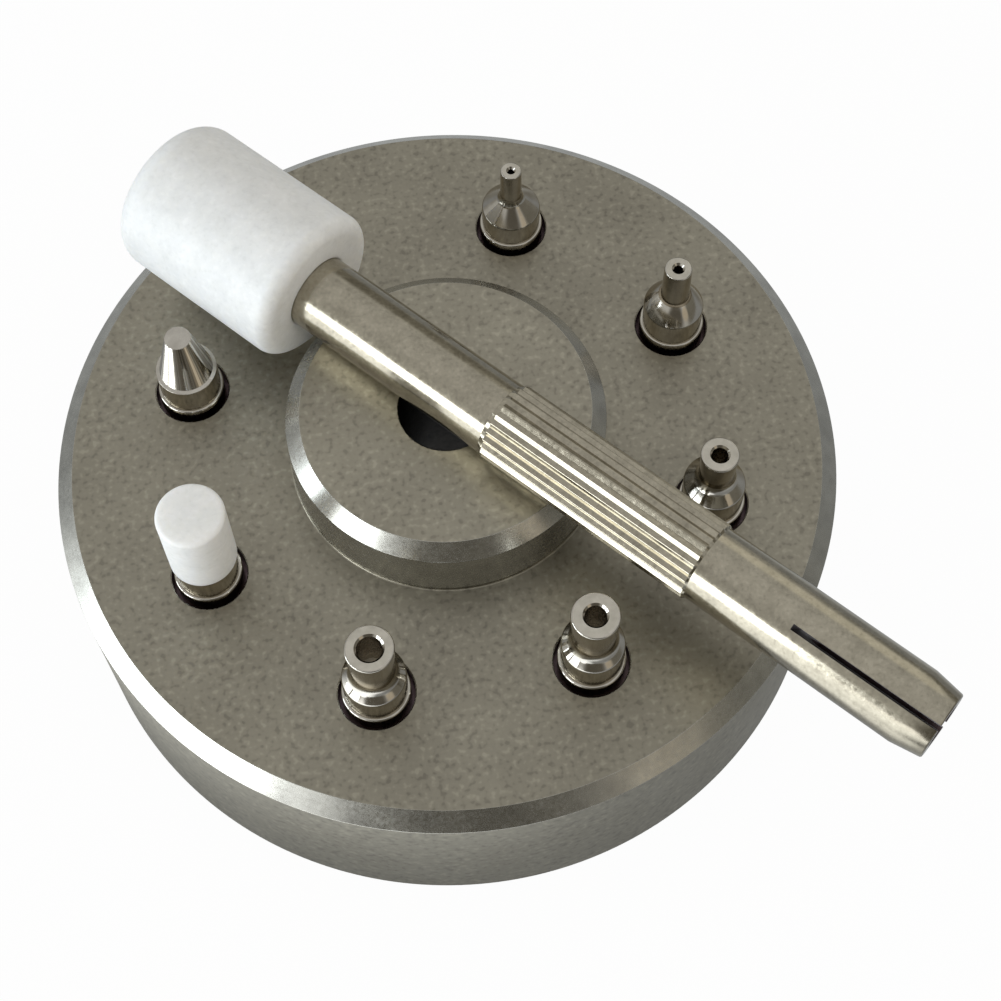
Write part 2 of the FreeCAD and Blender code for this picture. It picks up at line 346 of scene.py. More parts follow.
# ---------------------------------------------------------------------------------------------
# Effects that several materials use
# ---------------------------------------------------------------------------------------------


def new_group(name, inputs, outputs):
    """A shader node group, with the name and the kind of each input and output."""
    group = bpy.data.node_groups.new(name, "ShaderNodeTree")
    for in_out, sockets in (("INPUT", inputs), ("OUTPUT", outputs)):
        for label, kind in sockets.items():
            group.interface.new_socket(label, in_out=in_out, socket_type=kind)
    return group, group.nodes.new("NodeGroupInput"), group.nodes.new("NodeGroupOutput")


# Most of the noise gives a speck value close to 0.5, and only its ends give dark or light spots.
SPECK_STOPS = [
    (position, (grey, grey, grey))
    for position, grey in ((0.30, 0.0), (0.42, 0.45), (0.58, 0.55), (0.72, 1.0))
]


def grain_group():
    """Grain of two sizes: sparse specks, and slow clouding from 0 to 1."""
    group, given, out = new_group(
        "grain",
        {
            "Vector": "NodeSocketVector",
            "Speck Scale": "NodeSocketFloat",
            "Cloud Scale": "NodeSocketFloat",
        },
        {"Specks": "NodeSocketFloat", "Clouds": "NodeSocketFloat"},
    )
    vector = given.outputs["Vector"]
    specks = noise(group, vector, given.outputs["Speck Scale"], 1.0, 0.5)
    group.links.new(ramp(group, specks, SPECK_STOPS), out.inputs["Specks"])
    clouds = noise(group, vector, given.outputs["Cloud Scale"], 3.0, 0.6)
    spread = add(group, "ShaderNodeMapRange", {"Value": clouds, "From Min": 0.3, "From Max": 0.7})
    group.links.new(spread.outputs["Result"], out.inputs["Clouds"])
    return group


def lathe_group():
    """Fine tool lines round Z: they change with radius and height only."""
    group, given, out = new_group(
        "lathe_lines",
        {"Vector": "NodeSocketVector", "Line Scale": "NodeSocketFloat"},
        {"Lines": "NodeSocketFloat"},
    )
    apart = add(group, "ShaderNodeSeparateXYZ", {0: given.outputs["Vector"]})
    squares = [math_node(group, "POWER", apart.outputs[axis], 2.0) for axis in "XY"]
    across = math_node(group, "SQRT", math_node(group, "ADD", *squares))
    join = add(group, "ShaderNodeCombineXYZ", {"X": across, "Y": apart.outputs["Z"]})
    lines = noise(group, join.outputs[0], given.outputs["Line Scale"], 1.0, 0.5)
    group.links.new(lines, out.inputs["Lines"])
    return group


GRAIN = grain_group()
LATHE = lathe_group()


def grained(tree, vector, speck_scale, cloud_scale):
    """The specks and the clouds of the grain group at these scales."""
    inputs = {"Vector": vector, "Speck Scale": speck_scale, "Cloud Scale": cloud_scale}
    node = add(tree, "ShaderNodeGroup", inputs, node_tree=GRAIN)
    return node.outputs["Specks"], node.outputs["Clouds"]


def lathed(tree, vector, line_scale):
    """The tool lines of the lathe group at this scale."""
    inputs = {"Vector": vector, "Line Scale": line_scale}
    return add(tree, "ShaderNodeGroup", inputs, node_tree=LATHE).outputs["Lines"]


def together(tree, specks, clouds, speck_share):
    """Specks and clouds in one mask, with this share of it for the specks."""
    return math_node(
        tree,
        "ADD",
        math_node(tree, "MULTIPLY", specks, speck_share),
        math_node(tree, "MULTIPLY", clouds, 1 - speck_share),
    )


def lightened(colour, lightness):
    """A colour made lighter or darker by a factor."""
    return [channel * lightness for channel in colour]


def bumped(tree, shader, height, strength, distance):
    """Small unevenness of the surface, by a mask."""
    inputs = {"Strength": strength, "Distance": distance, "Height": height}
    bump = add(tree, "ShaderNodeBump", inputs)
    tree.links.new(bump.outputs["Normal"], shader.inputs["Normal"])


def seen_aslant(tree, start, end):
    """From 0 where a surface is seen face on to 1 where it is seen well aslant."""
    facing = add(tree, "ShaderNodeLayerWeight", {"Blend": 0.5})
    return eased(tree, facing.outputs["Facing"], start, end)


# ---------------------------------------------------------------------------------------------
# Materials
# ---------------------------------------------------------------------------------------------


def new_material(name):
    """A new material, its nodes, its Principled shader and its object coordinates."""
    material = bpy.data.materials.new(name)
    material.use_nodes = True
    tree = material.node_tree
    shader = tree.nodes["Principled BSDF"]
    place = add(tree, "ShaderNodeTexCoord")
    return material, tree, shader, place.outputs["Object"]


def new_steel(name):
    """The same as new_material, for bare metal."""
    material, tree, shader, vector = new_material(name)
    shader.inputs["Metallic"].default_value = 1.0
    return material, tree, shader, vector


def blasted_steel(name, lightness):
    """Bead-blasted steel: warm grey with sparse pits and light spots, and slow clouding."""
    material, tree, shader, vector = new_steel(name)
    specks, clouds = grained(tree, vector, 1500.0, 110.0)
    pits = lightened((0.222, 0.204, 0.166), lightness)
    spots = lightened((0.425, 0.396, 0.318), lightness)
    colour = blend(tree, together(tree, specks, clouds, 0.75), pits, spots)
    tree.links.new(colour, shader.inputs["Base Color"])
    tree.links.new(between(tree, clouds, 0.44, 0.38), shader.inputs["Roughness"])
    bumped(tree, shader, specks, 0.35, 0.02 * MM)
    return material


def turned_steel(name, lightness):
    """A machined edge: smoother than the blasted faces, with faint lines round the axis."""
    material, tree, shader, vector = new_steel(name)
    specks, clouds = grained(tree, vector, 2500.0, 300.0)
    dull = lightened((0.42, 0.41, 0.375), lightness)
    bright = lightened((0.58, 0.57, 0.52), lightness)
    tree.links.new(blend(tree, clouds, dull, bright), shader.inputs["Base Color"])
    tree.links.new(between(tree, specks, 0.22, 0.32), shader.inputs["Roughness"])
    bumped(tree, shader, lathed(tree, vector, 6000.0), 0.12, 0.01 * MM)
    return material


# The stakes' axis, a little aslant so that no flat end's normal lies along it.
ALONG_STAKE = {"X": 0.02, "Y": 0.01, "Z": 1.0}


def polished_steel():
    """Polished steel of the stakes: mirror-like, with painted reflection, darker and browner where
    it is seen aslant, and very faint lathe lines round the axis, which draw a highlight out along
    it."""
    material, tree, shader, vector = new_steel("polished_steel")
    _, clouds = grained(tree, vector, 3000.0, 500.0)
    bright = blend(tree, clouds, (0.46, 0.43, 0.38), (0.60, 0.57, 0.51))
    painted_reflection_brown = blend(tree, clouds, (0.30, 0.255, 0.18), (0.42, 0.37, 0.28))
    # Painted reflection: darker and browner where the surface is seen aslant.
    colour = blend(tree, seen_aslant(tree, 0.42, 0.60), bright, painted_reflection_brown)
    tree.links.new(colour, shader.inputs["Base Color"])
    tree.links.new(between(tree, clouds, 0.08, 0.13), shader.inputs["Roughness"])
    along = add(tree, "ShaderNodeCombineXYZ", ALONG_STAKE)
    tree.links.new(along.outputs[0], shader.inputs["Tangent"])
    shader.inputs["Anisotropic"].default_value = 0.8
    bumped(tree, shader, lathed(tree, vector, 12000.0), 0.05, 0.005 * MM)
    return material


# How far the steps turn the mirrored direction up.
STEP_LIFT = 0.6


def stepped_steel():
    """The point's cone: bright steel turned in fine steps, which mirror as if they sloped less,
    with painted reflection: light and dark bands down the slope, set by the way the surface faces."""
    material, tree, shader, vector = new_steel("stepped_steel")
    _, clouds = grained(tree, vector, 3000.0, 500.0)
    normal = add(tree, "ShaderNodeNewGeometry").outputs["Normal"]
    # Painted reflection: light and dark bands down the slope, keyed to the surface's normal.
    painted_reflection_streaks = eased(tree, noise(tree, normal, 9.0, 2.0, 0.5), 0.42, 0.58)
    colour = blend(tree, painted_reflection_streaks, (0.27, 0.25, 0.21), (0.60, 0.57, 0.51))
    tree.links.new(colour, shader.inputs["Base Color"])
    tree.links.new(between(tree, clouds, 0.08, 0.13), shader.inputs["Roughness"])
    lifted = vector_node(tree, "ADD", "Vector", normal, (0, 0, STEP_LIFT))
    level = vector_node(tree, "NORMALIZE", "Vector", lifted)
    tree.links.new(level, shader.inputs["Normal"])
    return material


def ground_steel():
    """The flat ends of the stakes: ground matt and light."""
    material, tree, shader, vector = new_steel("ground_steel")
    specks, clouds = grained(tree, vector, 4000.0, 700.0)
    colour = blend(tree, clouds, (0.52, 0.49, 0.42), (0.68, 0.64, 0.56))
    tree.links.new(colour, shader.inputs["Base Color"])
    tree.links.new(between(tree, specks, 0.34, 0.44), shader.inputs["Roughness"])
    bumped(tree, shader, specks, 0.1, 0.01 * MM)
    return material


def painted_shade_steel(name, low, high):
    """Drilled walls and recess floors: rough, and painted dark as shade in the hollows."""
    material, tree, shader, vector = new_steel(name)
    specks, clouds = grained(tree, vector, 2500.0, 400.0)
    tree.links.new(blend(tree, clouds, low, high), shader.inputs["Base Color"])
    tree.links.new(between(tree, specks, 0.3, 0.45), shader.inputs["Roughness"])
    return material


def bore_shade_steel():
    """Inside a tip's bore: drilled steel painted dark as shade in the bore, but still reflecting.
    """
    material, tree, shader, vector = new_steel("bore_shade_steel")
    specks, clouds = grained(tree, vector, 3000.0, 500.0)
    colour = blend(tree, clouds, (0.22, 0.175, 0.12), (0.38, 0.33, 0.25))
    tree.links.new(colour, shader.inputs["Base Color"])
    tree.links.new(between(tree, specks, 0.2, 0.35), shader.inputs["Roughness"])
    return material


def shaft_steel():
    """The tool's shaft: nickel bright, slightly rippled by polishing, with small dull specks."""
    material, tree, shader, vector = new_steel("shaft_steel")
    specks, clouds = grained(tree, vector, 2600.0, 600.0)
    both = together(tree, specks, clouds, 0.5)
    colour = blend(tree, both, (0.30, 0.273, 0.214), (0.51, 0.468, 0.375))
    tree.links.new(colour, shader.inputs["Base Color"])
    tree.links.new(between(tree, specks, 0.12, 0.20), shader.inputs["Roughness"])
    bumped(tree, shader, specks, 0.12, 0.01 * MM)
    return material


def white_plastic(name, low, high, roughness):
    """Milky plastic: faint clouding and a fine satin grain."""
    material, tree, shader, vector = new_material(name)
    specks, clouds = grained(tree, vector, 1900.0, 420.0)
    both = together(tree, specks, clouds, 0.5)
    satin = between(tree, specks, roughness - 0.05, roughness + 0.05)
    tree.links.new(blend(tree, both, low, high), shader.inputs["Base Color"])
    tree.links.new(satin, shader.inputs["Roughness"])
    shader.inputs["Subsurface Weight"].default_value = 0.9
    shader.inputs["Subsurface Radius"].default_value = (1.0, 0.97, 0.9)
    shader.inputs["Subsurface Scale"].default_value = 1.0 * MM
    bumped(tree, shader, specks, 0.4, 0.02 * MM)
    return material


BLASTED = blasted_steel("blasted_steel", 1.0)
# The boss's top: the blasted steel made lighter, as painted light.
BOSS_FACE_PAINTED_LIGHT = blasted_steel("boss_face_painted_light_steel", 1.10)
TURNED = turned_steel("turned_steel", 1.0)
# The boss's side wall: the turned steel made darker, as painted shade.
BOSS_SIDE_PAINTED_SHADE = turned_steel("boss_side_painted_shade_steel", 0.85)
# Painted shade: the stations' recesses and the anvil bore are coloured dark.
HOLLOW_SHADE = painted_shade_steel("hollow_shade_steel", (0.075, 0.048, 0.045), (0.17, 0.13, 0.145))
BORE_SHADE = painted_shade_steel("painted_shade_steel", (0.018, 0.014, 0.010), (0.05, 0.042, 0.032))
POLISHED = polished_steel()
STEPPED = stepped_steel()
GROUND = ground_steel()
BORE_WALL_SHADE = bore_shade_steel()
SHAFT = shaft_steel()
HEAD_WHITE = white_plastic("head_plastic", (0.78, 0.79, 0.79), (0.93, 0.94, 0.94), 0.42)
PAD_WHITE = white_plastic("pad_plastic", (0.84, 0.85, 0.84), (0.99, 1.0, 0.99), 0.5)


# ---------------------------------------------------------------------------------------------
# The stand
# ---------------------------------------------------------------------------------------------


def station_cutter():
    """All eight stations as one cutter: a recess with a broken edge over a drilled pilot hole."""
    floor = BLOCK_TOP - RECESS_DEEP
    above = 1.0 * MM
    bottom = floor - PILOT_DEEP
    stations = turned(
        [
            (0, BLOCK_TOP + above, 0),
            (RECESS_R + RECESS_LIP + above, BLOCK_TOP + above, 0),
            (RECESS_R, BLOCK_TOP - RECESS_LIP, 0),
            (RECESS_R, floor, 0),
            (PILOT_R, floor, 0),
            (PILOT_R, bottom, 0),
            (0, bottom - PILOT_R / DRILL_SLOPE, 0),
        ],
        STAKE_STEPS,
    )
    bmesh.ops.translate(stations, verts=stations.verts[:], vec=(STATION_CIRCLE_R, 0, 0))
    bmesh.ops.rotate(
        stations,
        verts=stations.verts[:],
        cent=(0, 0, 0),
        matrix=Matrix.Rotation(FIRST_STATION, 3, "Z"),
    )
    bmesh.ops.spin(
        stations,
        geom=stations.verts[:] + stations.edges[:] + stations.faces[:],
        cent=(0, 0, 0),
        axis=(0, 0, 1),
        angle=FULL_TURN * (STATION_COUNT - 1) / STATION_COUNT,
        steps=STATION_COUNT - 1,
        use_duplicate=True,
    )
    bmesh.ops.recalc_face_normals(stations, faces=stations.faces[:])
    return as_object(stations, "station_cutter")


# The block's finishes, with painted shade in the hollows and on the boss's side, and painted light
# on the boss's top.
BLOCK_FINISHES_AND_PAINTED_LIGHT = [BLASTED, TURNED, HOLLOW_SHADE, BORE_SHADE, BOSS_FACE_PAINTED_LIGHT, BOSS_SIDE_PAINTED_SHADE]


def block_finish_or_painted_light(centre, normal):
    """Which of the block's materials a face has: a finish, painted shade, or painted light."""
    across = math.hypot(centre.x, centre.y)
    # Painted shade in the anvil bore.
    if across < BORE_R + EDGE_BREAK:
        return BORE_SHADE
    if centre.z < EDGE_BREAK:
        return BLASTED
    # Painted shade in the stations' recesses.
    if centre.z < BLOCK_TOP - RECESS_LIP and across < BLOCK_R - BLOCK_EDGE * 2:
        return HOLLOW_SHADE
    # The boss's side wall gets painted shade.
    if abs(across - BOSS_R) < BOSS_ROOT and BLOCK_TOP < centre.z < BOSS_TOP - BOSS_EDGE:
        return BOSS_SIDE_PAINTED_SHADE if centre.z > BLOCK_TOP + BOSS_ROOT else BLASTED
    if BEVEL_RISE[0] < normal.z < BEVEL_RISE[1]:
        return TURNED
    # Painted light on the boss's top.
    return BOSS_FACE_PAINTED_LIGHT if centre.z > BLOCK_TOP + BOSS_HIGH / 2 else BLASTED


def make_block():
    outline = [
        (BORE_R, 0, EDGE_BREAK),
        (BLOCK_R - BLOCK_FOOT_EDGE, 0, EDGE_BREAK),
        (BLOCK_R, BLOCK_FOOT_EDGE, EDGE_BREAK),
        (BLOCK_R, BLOCK_TOP - BLOCK_EDGE, EDGE_BREAK),
        (BLOCK_R - BLOCK_EDGE, BLOCK_TOP, EDGE_BREAK),
        (BOSS_R, BLOCK_TOP, BOSS_ROOT),
        (BOSS_R, BOSS_TOP - BOSS_EDGE, EDGE_BREAK),
        (BOSS_R - BOSS_EDGE, BOSS_TOP, EDGE_BREAK),
        (BORE_R, BOSS_TOP, EDGE_BREAK * 2),
    ]
    block = as_object(turned(outline, BLOCK_STEPS, closed=True), "stand_block")
    cut(block, station_cutter())
    piece(block, "stand", ["base_block"], BLOCK_FINISHES_AND_PAINTED_LIGHT, block_finish_or_painted_light)


# ---------------------------------------------------------------------------------------------
# The stakes
# ---------------------------------------------------------------------------------------------


def stake_place(node):
    """Where a stake's foot stands, and how high its tip is above that."""
    low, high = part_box(node)
    foot = low.z + SHANK_LONG
    middle = (low + high) / 2
    return Matrix.Translation((middle.x, middle.y, foot)), high.z - foot


def stake_start(rim=RIM_HIGH, rounding=STAKE_BREAK):
    """The shank, foot and body that every stake shares."""
    return [
        (0, -SHANK_LONG, 0),
        (SHANK_R - SHANK_EDGE, -SHANK_LONG, 0),
        (SHANK_R, SHANK_EDGE - SHANK_LONG, 0),
        (SHANK_R, 0, 0),
        (FOOT_R, 0, STAKE_BREAK),
        (FOOT_R, FOOT_HIGH, FOOT_ROUND),
        (BODY_R, FOOT_HIGH, 0),
        (BODY_R, rim, rounding),
    ]


def make_tube_stake(node):
    tip_r, mouth_r, neck_r, rim, cone, waist = (size * MM for size in TUBE_TIPS[node])
    place, high = stake_place(node)
    bore_r = mouth_r - TIP_BORE_EDGE
    waist_high = rim + cone
    seam_low = waist_high - SEAM_HIGH
    seam_r = neck_r + SEAM_WIDE
    neck = [(neck_r, waist_high, waist)]
    if not waist:
        neck.insert(0, (seam_r, seam_low, 0))
    outline = stake_start(rim, RIM_ROUND) + neck + [
        (tip_r, high, TIP_EDGE),
        (mouth_r, high, 0),
        (bore_r, high - TIP_BORE_EDGE, 0),
        (bore_r, high - TIP_BORE_DEEP, 0),
        (0, high - TIP_BORE_DEEP, 0),
    ]
    stake = as_object(turned(outline, STAKE_STEPS), f"{node}_turned", place)
    foot = place.translation

    def pick(centre, normal):
        rise = centre.z - foot.z
        across = (centre.xy - foot.xy).length
        # Painted shade on the bore's walls.
        if across < bore_r and rise > rim:
            return GROUND if normal.z > FLAT_RISE else BORE_WALL_SHADE
        # Painted shade in the seam of a sharp waist.
        if not waist and seam_low < rise < waist_high and across < seam_r:
            return BORE_WALL_SHADE
        return GROUND if normal.z > FLAT_RISE and rise > high - TIP_EDGE else POLISHED

    piece(stake, node, [node], [POLISHED, GROUND, BORE_WALL_SHADE], pick)


def make_point_stake():
    place, high = stake_place("point_stake")
    cone_low = RIM_HIGH + POINT_LAND
    outline = stake_start() + [
        (POINT_FOOT_R, cone_low, STAKE_BREAK),
        (POINT_FLAT_R, high, STAKE_BREAK),
        (0, high, 0),
    ]
    stake = as_object(turned(outline, STAKE_STEPS), "point_stake_turned", place)

    def pick(centre, normal):
        on_cone = centre.z - place.translation.z > cone_low and normal.z < FLAT_RISE
        return STEPPED if on_cone else POLISHED

    piece(stake, "point_stake", ["point_stake"], [POLISHED, STEPPED], pick)


def make_pad_stake():
    place, peg_top = stake_place("pad_stake_foot")
    outline = stake_start() + [(PEG_R, RIM_HIGH, 0), (PEG_R, peg_top, 0), (0, peg_top, 0)]
    foot = as_object(turned(outline, STAKE_STEPS), "pad_stake_foot_turned", place)
    piece(foot, "pad_stake", ["pad_stake_foot"], [POLISHED])

    low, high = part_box("pad_stake_pad")
    pad_high = high.z - low.z
    peg_long = peg_top - RIM_HIGH
    outline = [
        (PEG_R, 0, 0),
        (PAD_R, 0, STAKE_BREAK * 2),
        (PAD_R, pad_high, PAD_EDGE),
        (0, pad_high, 0),
        (0, peg_long, 0),
        (PEG_R, peg_long, 0),
    ]
    seat = Matrix.Translation(place.translation + Vector((0, 0, RIM_HIGH)))
    pad = as_object(turned(outline, STAKE_STEPS, closed=True), "pad_stake_pad_turned", seat)
    piece(pad, "pad_stake", ["pad_stake_pad"], [PAD_WHITE])


# ---------------------------------------------------------------------------------------------
# The hand tool
# ---------------------------------------------------------------------------------------------


def tool_place():
    """From a shape along Z, with its saw slot in the plane of X, to where the tool lies."""
    front = Vector((TOOL_AXIS.y, -TOOL_AXIS.x, 0))
    across = Vector((0, 0, 1)) * math.cos(SLOT_LEAN) + front * math.sin(SLOT_LEAN)
    third = TOOL_AXIS.cross(across)
    turn = Matrix((across, third, TOOL_AXIS)).transposed().to_4x4()
    return Matrix.Translation(TOOL_END - TOOL_AXIS * SHAFT_END) @ turn


def make_shaft(place):
    start = HEAD_FACE - SHAFT_INSIDE
    grip_end = GRIP_START + GRIP_LONG
    outline = [
        (0, start, 0),
        (SHAFT_R - SHAFT_EDGE, start, 0),
        (SHAFT_R, start + SHAFT_EDGE, 0),
        (SHAFT_R, GRIP_START, 0),
        (CORE_R, GRIP_START, 0),
        (CORE_R, grip_end, 0),
        (SHAFT_R, grip_end, 0),
        (SHAFT_R, SHAFT_END - NOSE_LONG, 0),
        (NOSE_R, SHAFT_END, EDGE_BREAK * 2),
        (SOCKET_R + SOCKET_EDGE, SHAFT_END, EDGE_BREAK),
        (SOCKET_R, SHAFT_END - SOCKET_EDGE, 0),
        (SOCKET_R, SHAFT_END - SOCKET_DEEP, 0),
        (0, SHAFT_END - SOCKET_DEEP - SOCKET_R / DRILL_SLOPE, 0),
    ]
    shaft = as_object(turned(outline, TOOL_STEPS), "tool_shaft_turned")
    slot_start = SHAFT_END - SLOT_LONG
    through = SHAFT_R * 3
    saw_long = SLOT_LONG + SLOT_WIDE
    saw = bmesh.new()
    bmesh.ops.create_cube(saw, size=1.0)
    bmesh.ops.scale(saw, verts=saw.verts[:], vec=(through, SLOT_WIDE, saw_long))
    bmesh.ops.translate(saw, verts=saw.verts[:], vec=(0, 0, slot_start + saw_long / 2))
    cut(shaft, as_object(saw, "saw_cutter"))
    shaft.data.transform(place)
    inverse = place.inverted()

    def pick(centre, normal):
        local = inverse @ centre
        inside = math.hypot(local.x, local.y) < PAINTED_SHADE_R
        # Painted shade inside the socket and the slot.
        return HOLLOW_SHADE if inside and slot_start - MM < local.z < SHAFT_END - PAINTED_SHADE_SHORT else SHAFT

    piece(shaft, "hand_tool", ["tool_shaft"], [SHAFT, HOLLOW_SHADE], pick)


def make_grip(place):
    """The fluted grip: one flute repeated round the axis, drawn out along it."""
    step = FULL_TURN / FLUTE_COUNT
    edge = step * (1 - FLUTE_LAND) / 2
    root_r = GRIP_R - FLUTE_DEEP
    flute = [(root_r, 0.0), (GRIP_R, edge), (GRIP_R, step - edge), (root_r, step)]
    bm = bmesh.new()
    corners = [bm.verts.new((r * math.cos(a), r * math.sin(a), 0)) for r, a in flute]
    for first, second in zip(corners, corners[1:]):
        bm.edges.new((first, second))
    for corner in corners[1:-1]:
        round_corner(bm, corner, FLUTE_EDGE, FLUTE_EDGE_SEGMENTS)
    bmesh.ops.spin(
        bm,
        geom=bm.verts[:] + bm.edges[:],
        cent=(0, 0, 0),
        axis=(0, 0, 1),
        angle=FULL_TURN - step,
        steps=FLUTE_COUNT - 1,
        use_duplicate=True,
    )
    bmesh.ops.remove_doubles(bm, verts=bm.verts[:], dist=MERGE)
    ring = bmesh.ops.contextual_create(bm, geom=bm.edges[:])["faces"]
    chamfer = GRIP_R - SHAFT_R
    # The short second step keeps the run-out's soft shading off the long flutes.
    soft = FLUTE_RUN_OUT + EDGE_BREAK
    for rise in (FLUTE_RUN_OUT, EDGE_BREAK, GRIP_LONG - soft - chamfer, chamfer):
        grown = bmesh.ops.extrude_face_region(bm, geom=ring)["geom"]
        ring = [part for part in grown if isinstance(part, bmesh.types.BMFace)]
        verts = list({vert for face in ring for vert in face.verts})
        bmesh.ops.translate(bm, verts=verts, vec=(0, 0, rise))
    for vert in bm.verts:
        at_end = vert.co.z < chamfer / 2 or vert.co.z > GRIP_LONG - chamfer / 2
        across = vert.co.xy.length
        if at_end and across > SHAFT_R:
            vert.co.xy *= SHAFT_R / across
    bmesh.ops.translate(bm, verts=bm.verts[:], vec=(0, 0, GRIP_START))
    bmesh.ops.recalc_face_normals(bm, faces=bm.faces[:])
    grip = as_object(bm, "tool_grip_fluted", place)
    piece(grip, "hand_tool", ["tool_shaft"], [SHAFT])


def make_head(place):
    back = HEAD_FACE - HEAD_LONG
    outline = [
        (0, back, 0),
        (HEAD_R, back, HEAD_BACK_EDGE),
        (HEAD_R, HEAD_FACE, HEAD_FRONT_EDGE),
        (SHAFT_R, HEAD_FACE, EDGE_BREAK * 2),
        (SHAFT_R, HEAD_FACE - SHAFT_INSIDE, 0),
        (0, HEAD_FACE - SHAFT_INSIDE, 0),
    ]
    head = as_object(turned(outline, TOOL_STEPS), "tool_head_turned", place)
    piece(head, "hand_tool", ["tool_head"], [HEAD_WHITE])


# ---------------------------------------------------------------------------------------------
# Floor, room, light and camera
# ---------------------------------------------------------------------------------------------


def way(turn, height):
    """The direction with this compass turn from +X and this angle above the floor."""
    return Vector(
        (math.cos(turn) * math.cos(height), math.sin(turn) * math.cos(height), math.sin(height))
    )


def towards(tree, vector, turn, height, full, gone, value=1.0):
    """This value inside the full angle round a direction, and nothing outside the gone one.

    The direction and both angles are in degrees."""
    turn, height, full, gone = (math.radians(angle) for angle in (turn, height, full, gone))
    facing = vector_node(tree, "DOT_PRODUCT", "Value", vector, way(turn, height))
    return eased(tree, facing, math.cos(gone), math.cos(full), value)


def camera_or_mirror(tree):
    """1 for rays straight from the camera, and 1 for those that come off metal or through glass."""
    rays = add(tree, "ShaderNodeLightPath").outputs
    mirror = math_node(tree, "MAXIMUM", rays["Is Glossy Ray"], rays["Is Transmission Ray"])
    return rays["Is Camera Ray"], mirror


# How bright the steel mirrors the table: in the block's shadow, and then in each ring further
# out. A ring has the two distances between which it takes over and its brightness. Then come
# the window's compass direction and height, the angle inside which its shine is full and the one
# outside which it is gone, in degrees, and what the shine adds.
TABLE_SHADOW = 0.36
TABLE_RINGS = (
    (0.046, 0.062, 0.50, (234, 0, 18, 62, 1.7)),
    (0.070, 0.115, 0.28, (213, 0, 24, 56, 2.1)),
)


def table_brightness(tree, place, away):
    """How bright the steel mirrors each place of the table."""
    outward = vector_node(tree, "NORMALIZE", "Vector", place)
    brightness = TABLE_SHADOW
    for start, end, plain, window in TABLE_RINGS:
        ring = math_node(tree, "ADD", towards(tree, outward, *window), plain)
        brightness = mixed(tree, "FLOAT", eased(tree, away, start, end), brightness, ring)
    return brightness


FLOOR_SIZE = 6.0
FLOOR_SEGMENTS = 8
# The floor's own glow fades out between these distances, under the block, so that the anvil bore
# stays dark from above.
FLOOR_GLOW_FROM = (BLOCK_R * 0.8, BLOCK_R * 0.9)
# How much of what the camera and the steel see of the floor is its own glow. The rest is lit, and
# keeps a faint shadow.
CAMERA_GLOW = 0.97
MIRROR_GLOW = 0.85


def make_floor():
    """A white floor that glows to the camera, and to the steel as a table does."""
    bm = bmesh.new()
    bmesh.ops.create_grid(
        bm, x_segments=FLOOR_SEGMENTS, y_segments=FLOOR_SEGMENTS, size=FLOOR_SIZE
    )
    floor = as_object(bm, "floor")
    material, tree, shader, place = new_material("floor_white")
    shader.inputs["Base Color"].default_value = (0.80, 0.80, 0.79, 1)
    shader.inputs["Roughness"].default_value = 0.8
    away = vector_node(tree, "LENGTH", "Value", place)
    camera_ray, mirror_ray = camera_or_mirror(tree)
    camera_ray = math_node(tree, "MULTIPLY", camera_ray, eased(tree, away, *FLOOR_GLOW_FROM))
    mirrored = math_node(tree, "MULTIPLY", mirror_ray, table_brightness(tree, place, away))
    colour = blend(tree, camera_ray, (0.93, 0.97, 1.0), (1, 1, 1))
    strength = math_node(tree, "ADD", camera_ray, mirrored)
    glow = add(tree, "ShaderNodeEmission", {"Color": colour, "Strength": strength})
    share = math_node(
        tree,
        "ADD",
        math_node(tree, "MULTIPLY", camera_ray, CAMERA_GLOW),
        math_node(tree, "MULTIPLY", mirror_ray, MIRROR_GLOW),
    )
    shaders = {0: share, 1: shader.outputs[0], 2: glow.outputs[0]}
    mix = add(tree, "ShaderNodeMixShader", shaders)
    tree.links.new(mix.outputs[0], tree.nodes["Material Output"].inputs["Surface"])
    floor.data.materials.append(material)


# The room's greys, from 0 at the horizon to 1 overhead.
ROOM_GREYS = (
    (0.0, (0.50, 0.50, 0.48)),
    (0.5, (0.62, 0.62, 0.60)),
    (0.75, (0.58, 0.58, 0.57)),
    (1.0, (0.68, 0.68, 0.67)),
)
# Darker and lighter sides of the room: the compass direction and the height of each, the angle
# inside which it is full and the one outside which it is gone, in degrees, and its colour.
ROOM_SIDES = (
    (266, 20, 17, 37, (0.125, 0.115, 0.095)),
    (342, 6, 20, 40, (0.20, 0.19, 0.16)),
    (25, -6, 18, 32, (0.22, 0.21, 0.18)),
    (70, 14, 10, 21, (0.22, 0.21, 0.18)),
    (46, 26, 9, 17, (0.86, 0.84, 0.76)),
    (307, 19, 7, 14, (0.60, 0.53, 0.42)),
    (229, 2, 7, 13, (2.2, 2.25, 2.3)),
    (133, -6, 12, 26, (0.36, 0.35, 0.32)),
)


def make_world():
    """A soft grey room with darker and lighter sides, which the camera itself sees white."""
    world = bpy.data.worlds.new("studio")
    bpy.context.scene.world = world
    world.use_nodes = True
    tree = world.node_tree
    direction = add(tree, "ShaderNodeTexCoord").outputs["Generated"]
    apart = add(tree, "ShaderNodeSeparateXYZ", {0: direction})
    colour = ramp(tree, apart.outputs["Z"], ROOM_GREYS)
    for *angles, side in ROOM_SIDES:
        colour = blend(tree, towards(tree, direction, *angles), colour, side)
    camera_ray, _ = camera_or_mirror(tree)
    colour = blend(tree, camera_ray, colour, (1, 1, 1))
    background = tree.nodes["Background"]
    tree.links.new(colour, background.inputs["Color"])
    background.inputs["Strength"].default_value = 1.0


